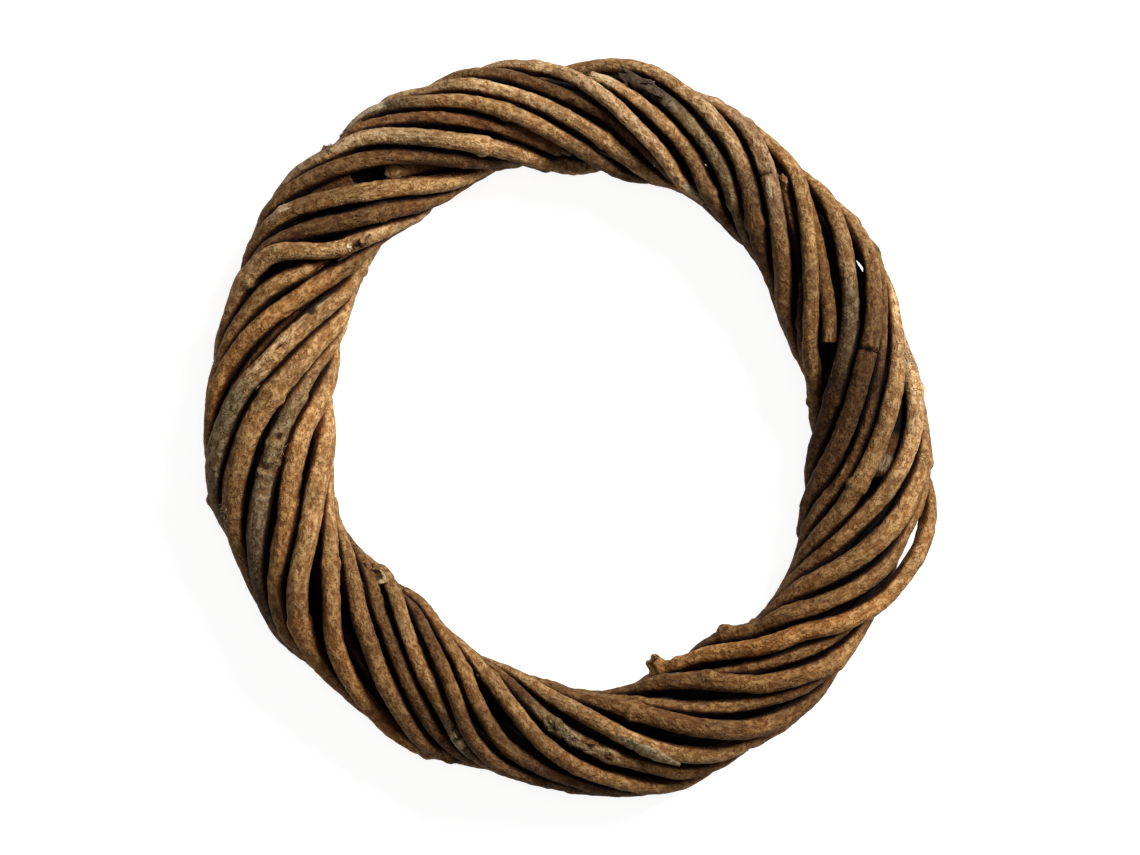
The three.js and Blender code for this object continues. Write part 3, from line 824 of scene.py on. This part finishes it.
def splinters(skin, middle, way, radius, count, reach, tone, rng):
    """Torn fibres that stand out of an end."""
    for _ in range(count):
        lean = rng.normal(size=3)
        lean = unit(lean - way * (lean @ way))
        root = middle + lean * radius * rng.uniform(0.2, 0.95) - way * 0.4
        tip = root + way * (0.4 + reach * rng.uniform(0.3, 1)) + lean * rng.uniform(-0.3, 0.6)
        if min(root[2], tip[2]) < 2 * ON_FLOOR:
            continue
        skin.spike(root, tip, rng.uniform(*SPLINTER_THICK), tone * rng.uniform(0.5, 1.2), SPLINTER_WOOD)


def add_hairs(skin, cane, rings, tone, rng):
    """Short bark fibres that roughen the cane's outline."""
    count = int(cane.run[-1] * HAIRS_PER_MM)
    for i, j, length, lean in zip(
        rng.integers(2, len(rings) - 2, count),
        rng.integers(0, rings.shape[1], count),
        rng.uniform(*HAIR_LENGTH, count) ** 1.5,
        rng.uniform(-1, 1, count),
    ):
        if rings[i, j, 2] < HAIRLESS_UNDER:
            continue
        out = unit(rings[i, j] - cane.middle[i])
        way = out * 0.75 + cane.tangent[i] * lean
        root = rings[i, j] - out * 0.1
        skin.spike(root, root + way * length, HAIR_THICK, tone[i, j] * rng.uniform(0.8, 1.7))


def add_stub(skin, cane, seed, angle, place, lean, thick, length, tear, pale):
    """A side shoot that was cut or torn off short, with a swollen foot."""
    rng = np.random.default_rng(seed)
    i = cane.at(angle)
    out, along = ring_axes(angle)
    up, ahead = radians(place), radians(lean)
    way = out * cos(up) * cos(ahead) + along * sin(ahead)
    way[2] += sin(up) * cos(ahead)
    side = unit(np.cross(way, cane.tangent[i]))
    other = np.cross(way, side)
    phi = circle(STUB_SIDES)
    spokes = np.cos(phi)[:, None] * side + STUB_OVAL * np.sin(phi)[:, None] * other
    foot = cane.radius[i]
    rings = []
    for t in np.append(np.arange(0.5 * foot, length - 0.3, STUB_STEP), length - 0.15):
        flare = 1 + STUB_FLARE * exp(-(((t - 0.8 * foot) / STUB_FLARE_HALF) ** 2))
        radius = 0.5 * thick * flare * (1 - (1 - STUB_TAPER) * t / length)
        ridges = RIDGE_HEIGHT * (1 + tear) * np.cos(STUB_RIDGES * phi + seed)
        ridges = ridges + STUB_RELIEF * noise(spokes * 1.2 + (0, 0, t * 0.7 + seed), seed)
        rings.append(cane.middle[i] + way * t + spokes * (radius + ridges)[:, None])
    face = cane.middle[i] + way * (length - 0.1)
    capped, woods, lights = cap_rings(face, rings[-1] - face + way * 0.05, way, tear, seed, pale)
    woods = np.concatenate([np.zeros((len(rings), STUB_SIDES)), woods])
    lights = np.concatenate([np.ones((len(rings), STUB_SIDES)), lights])
    rings = above_floor(np.concatenate([rings, capped]))
    base = tone_along(cane.tones, angle)
    # Painted shade: the stub is darkened where other canes are near, and its cap by its painted brightness.
    openness = np.array([BUNDLE.openness(cane, i, ring, spokes * 0.5 + way) for ring in rings])
    skin.tube(rings, base * STUB_TONE * lights[..., None], rings, woods, openness)
    # The splinters take the cap's painted shade.
    shown = openness[-1].mean()
    splinters(skin, face, way, radius, int(12 + 30 * tear), 0.6 + tear, BRIGHT * shown, rng)


def add_strip(skin, rings, tone, wood):
    """A thin strip of bark over rings of points, in one tone with a little painted shade."""
    rings = np.array(rings)
    shape = rings.shape[:2]
    tones = np.broadcast_to(TONES[tone], rings.shape)
    skin.tube(rings, tones, rings, np.full(shape, wood), np.full(shape, STRIP_PAINTED_LIGHT))


def add_peel(skin, cane, seed, root, place, length, width, lift, tone):
    """A strip of bark that stands off the cane toward its tip."""
    rng = np.random.default_rng(seed)
    phi = circle(STRIP_SIDES)
    sway, bend = rng.uniform(-0.5, 0.5), rng.uniform(-12, 12)
    start = cane.run[cane.at(root)]
    rings = []
    for t in np.linspace(0, 1, max(8, int(abs(length) / 0.5))):
        run = start + length * t
        i = int(np.abs(cane.run - run).argmin())
        out = cane.toward(i, place + bend * t)
        across = np.cross(cane.tangent[i], out)
        centre = cane.middle[i] + cane.tangent[i] * (run - cane.run[i]) + across * sway * width * t * t
        centre = centre + out * (cane.radius[i] * 0.98 + lift * t**1.6)
        half = 0.5 * width * sin(pi * (0.12 + 0.82 * t)) ** 0.7
        half *= 1 + 0.3 * float(line_noise(abs(length) * t / 2 + seed, seed))
        cup = 0.25 * half * np.cos(phi) ** 2
        ring = centre + np.cos(phi)[:, None] * across * half
        rings.append(ring + out * (PEEL_THICK * np.sin(phi) - cup)[:, None])
    add_strip(skin, rings, tone, PEEL_WOOD)


def add_hook(skin, cane, size, thick, tone):
    """A thin curl of bark that hangs on at the cane's end."""
    tangent, middle = cane.tangent[-1], cane.middle[-1]
    out = cane.toward(-1, 100)
    phi = circle(STRIP_SIDES)
    rings = []
    for t in np.linspace(0, 1, HOOK_RINGS):
        turn = HOOK_TURN * t - HOOK_START
        reach = size * (1 - 0.35 * t)
        spoke = tangent * cos(turn) + out * sin(turn)
        centre = middle + tangent * 0.7 * size + out * 0.5 * size + spoke * reach
        side = np.cross(tangent, out)
        ring = spoke * np.cos(phi)[:, None] + side * 1.8 * np.sin(phi)[:, None]
        rings.append(centre + ring * thick * (1 - 0.6 * t))
    add_strip(skin, rings, tone, 0.0)


def add_tuft(skin, cane, seed, angle, place, spread, count, length, tone):
    """Torn fibres that stand off the side of a cane."""
    rng = np.random.default_rng(seed)
    base, rgb = cane.run[cane.at(angle)], np.array(TONES[tone])
    for _ in range(count):
        i = int(np.abs(cane.run - base - rng.normal(0, 0.5 * spread)).argmin())
        out = cane.toward(i, place + rng.normal(0, TUFT_FAN))
        root = cane.middle[i] + out * cane.radius[i] * 0.97
        way = unit(out * 0.8 + cane.tangent[i] * rng.normal(0, 0.9) + 0.3 * rng.normal(size=3))
        tip = root + way * length * rng.uniform(0.3, 1)
        skin.spike(root, tip, rng.uniform(*TUFT_THICK), rgb * rng.uniform(0.4, 1.3))


def add_flakes(skin, cane, openness, rng):
    """Small flakes of bark at chance places."""
    for number in range(int(cane.run[-1] * FLAKES_PER_MM)):
        i = int(rng.integers(20, len(cane.middle) - 30))
        place = rng.uniform(0, 360)
        length = rng.uniform(*FLAKE_LENGTH)
        width, lift = rng.uniform(*FLAKE_WIDTH), rng.uniform(*FLAKE_LIFT)
        if openness[i].max() < FLAKE_OPEN:
            continue
        tone = FLAKE_TONES[int(rng.integers(len(FLAKE_TONES)))]
        add_peel(skin, cane, number, cane.angle[i], place, length, width, lift, tone)


# What the bark's tone is multiplied by in its dark and light mottles and in its corky specks.
DARK_MOTTLE = (0.72, 0.60, 0.50, 1)
LIGHT_MOTTLE = (1.28, 1.37, 1.50, 1)
SPECK_TINT = (0.36, 0.21, 0.14, 1)
PALE_WOOD = ((0.26, 0.165, 0.075, 1), (0.60, 0.46, 0.27, 1))
BUMP_DEPTH = 0.34
ROUGH_SPREAD = 0.08
SPECULAR = 0.12
# Each slot's strength of mottles and its roughness.
BARKS = {
    "bark_tan": (1.0, 0.78), "bark_brown": (1.0, 0.80), "bark_grey": (1.0, 0.84), "bark_dark": (0.8, 0.86),
}


class Shader:
    """Short names for the nodes that the bark is made of."""

    def __init__(self, name):
        self.material = bpy.data.materials.new(name)
        self.material.use_nodes = True
        self.nodes = self.material.node_tree.nodes
        self.bark = self.attribute("bark", "Vector")

    def join(self, value, socket):
        if hasattr(value, "is_output"):
            self.material.node_tree.links.new(value, socket)
        else:
            socket.default_value = value

    def node(self, kind, output, inputs, **settings):
        """One of the outputs of a new node, with its inputs and its settings."""
        node = self.nodes.new("ShaderNode" + kind)
        for name, value in settings.items():
            setattr(node, name, value)
        for name, value in inputs.items():
            self.join(value, node.inputs[name])
        return node.outputs[output]

    def attribute(self, layer, output):
        return self.node("Attribute", output, {}, attribute_name=layer)

    def noise(self, scale, detail, stretch):
        place = self.node("VectorMath", 0, {0: self.bark, 1: stretch}, operation="MULTIPLY")
        inputs = {"Scale": scale, "Detail": detail, "Roughness": 0.6, "Vector": place}
        return self.node("TexNoise", "Fac", inputs)

    def ranged(self, value, low, high, to_low=0.0, to_high=1.0):
        inputs = {"From Min": low, "From Max": high, "To Min": to_low, "To Max": to_high, "Value": value}
        return self.node("MapRange", "Result", inputs)

    def mixed(self, factor, a, b, blend="MIX"):
        return self.node("Mix", 2, {0: factor, 6: a, 7: b}, data_type="RGBA", blend_type=blend)

    def tinted(self, colour, tint):
        return self.mixed(1.0, colour, tint, "MULTIPLY")

    def math(self, operation, a, b=0.0):
        return self.node("Math", 0, {0: a, 1: b}, operation=operation)

    def times(self, a, b):
        return self.math("MULTIPLY", a, b)


def bark_material(name, mottle, rough):
    """Bark in the cane's tone and painted shade, with mottles, corky specks, creases, grain and long
    streaks.

    Some stretches are cobbled, with more creases and fewer specks. Bare skin is pale wood."""
    s = Shader(name)
    broad = s.ranged(s.noise(0.11, 2, (1, 1, 0.7)), 0.35, 0.65, 0.78, 1.22)
    streak = s.ranged(s.noise(1.0, 3, (1, 1, 0.05)), 0.3, 0.7, 0.80, 1.20)
    cobbled = s.ranged(s.noise(0.05, 1, (1, 1, 1)), 0.44, 0.56)
    blotch = s.ranged(s.noise(0.6, 3, (1, 1, 0.75)), 0.41, 0.59)
    grain = s.noise(3.0, 3, (1, 1, 0.6))
    ridge = s.math("ABSOLUTE", s.math("SUBTRACT", s.noise(0.6, 1, (1, 1, 0.85)), 0.5))
    crease = s.times(s.ranged(ridge, 0.010, 0.034, 1, 0), s.ranged(cobbled, 0, 1, 0.3, 1))
    cluster = s.ranged(s.noise(0.35, 2, (1, 1, 0.7)), 0.42, 0.58, 0.5, 1)
    speck = s.ranged(s.noise(1.4, 2, (1, 1, 0.7)), 0.55, 0.60)
    speck = s.times(s.times(speck, cluster), s.ranged(cobbled, 0, 1, 1, 0.45))
    # The share of painted light at each point.
    shown = s.attribute("open", "Fac")

    # The tone layer has the painted shade already multiplied in.
    tone = s.attribute("tone", "Vector")
    dark = s.tinted(tone, DARK_MOTTLE)
    light = s.tinted(tone, LIGHT_MOTTLE)
    corky = s.tinted(tone, SPECK_TINT)
    colour = s.mixed(s.math("ADD", s.times(blotch, mottle), 0.5 - 0.5 * mottle), dark, light)
    colour = s.mixed(s.times(speck, 0.85 * mottle), colour, corky)
    colour = s.mixed(s.times(crease, 0.7 * mottle), colour, corky)
    shade = s.times(s.times(broad, streak), s.ranged(grain, 0.3, 0.7, 0.88, 1.12))
    colour = s.tinted(colour, shade)
    pale = s.mixed(grain, *PALE_WOOD)
    # Painted shade on the bare wood.
    pale = s.tinted(pale, s.ranged(shown, 0, 1, 0.02, 1))
    fibre = s.times(s.math("SUBTRACT", s.noise(2.4, 3, (1, 1, 0.12)), 0.5), 1.4)
    bare = s.ranged(s.math("ADD", s.attribute("wood", "Fac"), fibre), 0.35, 0.7)
    colour = s.mixed(bare, colour, pale)

    height = s.math("ADD", s.times(blotch, 0.7), s.times(grain, 0.35))
    height = s.math("SUBTRACT", height, s.times(s.math("MAXIMUM", speck, crease), 0.5))
    bump = s.node("Bump", "Normal", {"Strength": 1.0, "Distance": BUMP_DEPTH * MM, "Height": height})
    surface = s.nodes["Principled BSDF"]
    s.join(colour, surface.inputs["Base Color"])
    roughness = s.ranged(grain, 0.3, 0.7, rough - ROUGH_SPREAD, rough + ROUGH_SPREAD)
    s.join(roughness, surface.inputs["Roughness"])
    surface.inputs["Specular IOR Level"].default_value = SPECULAR
    s.join(bump, surface.inputs["Normal"])
    return s.material


MATERIALS = {slot: bark_material(slot, *values) for slot, values in BARKS.items()}
# The details that canes have, each a row of its table, and what adds them.
DETAILS = ((STUBS, add_stub), (PEELS, add_peel), (HOOKS, add_hook), (TUFTS, add_tuft))


def make_cane(cane):
    """The fine cane that stands for one of the frame's solids."""
    seed = cane.number + 1
    rings, spokes, bark, deep = cane_rings(cane)
    tone = np.repeat(tone_along(cane.tones, cane.angle)[:, None], cane.sides, 1)
    wood = bare_wood(cane, bark)
    # Painted shade: the bark's tone is darkened by the share of light each point gets, raised on the lit
    # stretches and lowered in hollows and cracks.
    openness = np.array([BUNDLE.openness(cane, i, rings[i], unit(spokes[i])) for i in range(len(rings))])
    for start, end, share in LIT.get(cane.name, []):
        lit = (cane.angle >= start) & (cane.angle <= end)
        openness[lit] = np.maximum(openness[lit], share)
    openness = openness * (1 - HOLLOW_PAINTED_SHADE * deep)
    for i, _ in cane.cracks():
        openness[i] *= CRACK_PAINTED_LIGHT
    skin = Skin()
    rng = np.random.default_rng(cane.number + CANE_SEED)
    caps = []
    for i, way, cap_seed in ((0, -cane.tangent[0], seed), (-1, cane.tangent[-1], seed + 5)):
        tear = BROKEN.get((cane.name, i), 0)
        cap, cap_wood, light = cap_rings(cane.middle[i], spokes[i], way, tear, cap_seed)
        # The caps' painted brightness adds to the painted shade of the cane's end.
        caps.append((cap, np.broadcast_to(tone[i], cap.shape), cap, cap_wood, openness[i] * light))
        if tear:
            # Splinters take the end's painted shade.
            shown = BRIGHT * openness[i].max()
            reach = END_REACH * tear
            splinters(skin, cane.middle[i], way, cane.radius[i], END_SPLINTERS, reach, shown, rng)
    layers = zip(caps[0], (rings, tone, bark, wood, openness), caps[1])
    skin.tube(*[np.concatenate([first[::-1], between, last]) for first, between, last in layers])
    for table, add in DETAILS:
        for row in table.get(cane.name, []):
            add(skin, cane, *row)
    if cane.outer:
        add_flakes(skin, cane, openness, rng)
        # Hairs take the painted shade of the skin they grow from.
        add_hairs(skin, cane, rings, tone * openness[..., None] ** PAINTED_SHADE_POWER, rng)
    skin.build("vine_" + cane.name, MATERIALS[cane.slot], cane.name)


for cane in BUNDLE.canes:
    make_cane(cane)


# From here on lengths are in metres. The floor glows a little, like a light table, so that the
# ring's shadow on it is faint.
FLOOR_HALF = 3.0
WHITE = (1, 1, 1, 1)
FLOOR_LOOKS = {
    "Base Color": (0.35, 0.35, 0.35, 1),
    "Roughness": 0.9,
    "Emission Color": WHITE,
    "Emission Strength": 0.88,
}
# The lights: name, place, size, power.
LIGHTS = [("key", (0.81, 0.73, 0.98), 0.6, 44), ("overhead", (0.0, 0.0, 1.8), 0.8, 6)]
WORLD_STRENGTH = 0.07


def add_floor():
    mesh = bpy.data.meshes.new("floor")
    corners = [(x * FLOOR_HALF, y * FLOOR_HALF, 0) for x, y in ((-1, -1), (1, -1), (1, 1), (-1, 1))]
    mesh.from_pydata(corners, [], [(0, 1, 2, 3)])
    material = bpy.data.materials.new("floor")
    material.use_nodes = True
    shader = material.node_tree.nodes["Principled BSDF"]
    for name, value in FLOOR_LOOKS.items():
        shader.inputs[name].default_value = value
    mesh.materials.append(material)
    floor = placed("floor", mesh)


def add_light(name, place, size, power):
    light = bpy.data.lights.new(name, "AREA")
    light.size = size
    light.energy = power
    lamp = placed(name, light)
    lamp.location = place
    lamp.rotation_euler = (-Vector(place)).to_track_quat("-Z", "Y").to_euler()


def add_world():
    world = bpy.data.worlds.new("studio")
    world.use_nodes = True
    background = world.node_tree.nodes["Background"]
    background.inputs["Color"].default_value = WHITE
    background.inputs["Strength"].default_value = WORLD_STRENGTH
    bpy.context.scene.world = world
    bpy.context.scene.view_settings.view_transform = "Standard"


# The photograph is 1140 by 855 pixels and looks straight down. The ring's middle is at this pixel.
# The camera's height and its sensor are in millimetres.
PHOTO_SIZE = (1140, 855)
RING_AT = (573.0, 425.0)
MM_PER_PIXEL = 0.2725
CAMERA_HEIGHT = 1500.0
SENSOR = 36.0


def add_camera():
    camera = bpy.data.cameras.new("camera")
    camera.sensor_width = SENSOR
    camera.lens = SENSOR * (CAMERA_HEIGHT - BUNDLE_MIDDLE) / (PHOTO_SIZE[0] * MM_PER_PIXEL)
    camera.clip_start = 0.05
    camera.clip_end = 20
    eye = placed("camera", camera)
    right = (PHOTO_SIZE[0] / 2 - RING_AT[0]) * MM_PER_PIXEL
    down = (PHOTO_SIZE[1] / 2 - RING_AT[1]) * MM_PER_PIXEL
    eye.location = ((RING_CENTRE[0] + right) * MM, (RING_CENTRE[1] - down) * MM, CAMERA_HEIGHT * MM)
    bpy.context.scene.camera = eye


add_floor()
for light in LIGHTS:
    add_light(*light)
add_world()
add_camera()
